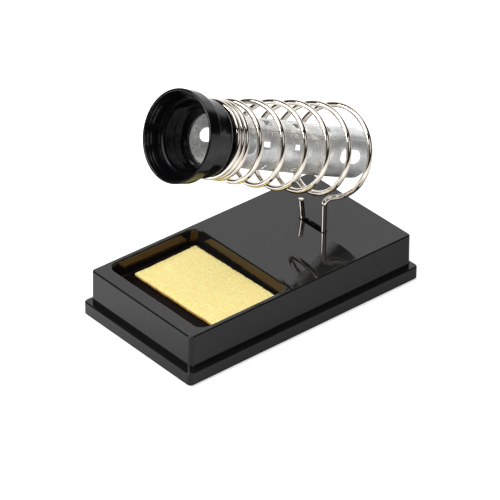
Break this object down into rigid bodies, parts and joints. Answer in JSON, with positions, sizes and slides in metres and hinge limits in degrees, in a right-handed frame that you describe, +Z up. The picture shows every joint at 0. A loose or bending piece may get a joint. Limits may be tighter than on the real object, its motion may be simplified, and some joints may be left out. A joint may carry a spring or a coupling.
{
  "type": "soldering iron station",
  "caption": "Weighted bench base with a sponge tray and a slanted wire-coil holder: funnel mouth in front, perforated guard tube inside the coil.",
  "frame": {"origin": "on the bench, under the middle of the base", "axes": "+X along the base's long side, from the sponge towards the coil's far end; +Y from the long front side to the rear one; +Z up"},
  "size_m": [0.1638, 0.0916, 0.1461],
  "materials": {
    "base_plastic": "polished black moulding",
    "plate_steel": "zinc-plated sheet",
    "ballast_iron": "as cast",
    "screw_steel": "zinc-plated",
    "foot_rubber": "matt",
    "sponge_cellulose": "dry cellulose sponge, fine pored",
    "holder_plating": "bright nickel-plated spring wire",
    "mouth_plastic": "satin black moulding",
    "tube_sheet": "galvanised sheet, cloudy"
  },
  "bodies": {
    "base": {"base_shell": "base_plastic", "bottom_plate": "plate_steel", "ballast_weight": "ballast_iron", "plate_screws": "screw_steel", "ballast_screws": "screw_steel", "rubber_foot_front_left": "foot_rubber", "rubber_foot_front_right": "foot_rubber", "rubber_foot_rear_left": "foot_rubber", "rubber_foot_rear_right": "foot_rubber"},
    "loose_sponge": {"sponge": "sponge_cellulose"},
    "holder": {"holder_wire": "holder_plating"},
    "mouth": {"mouth_funnel": "mouth_plastic", "guard_tube": "tube_sheet"}
  },
  "joints": [
    {"name": "sponge_lift", "type": "slide", "parent": "base", "child": "loose_sponge", "axis": [0, 0, 1], "range_m": [0, 0.03]},
    {"name": "holder_lift", "type": "slide", "parent": "base", "child": "holder", "axis": [0, 0, 1], "range_m": [0, 0.03]},
    {"name": "mouth_pull", "type": "slide", "parent": "holder", "child": "mouth", "axis": [-0.907, 0, 0.421], "range_m": [0, 0.115]}
  ]
}
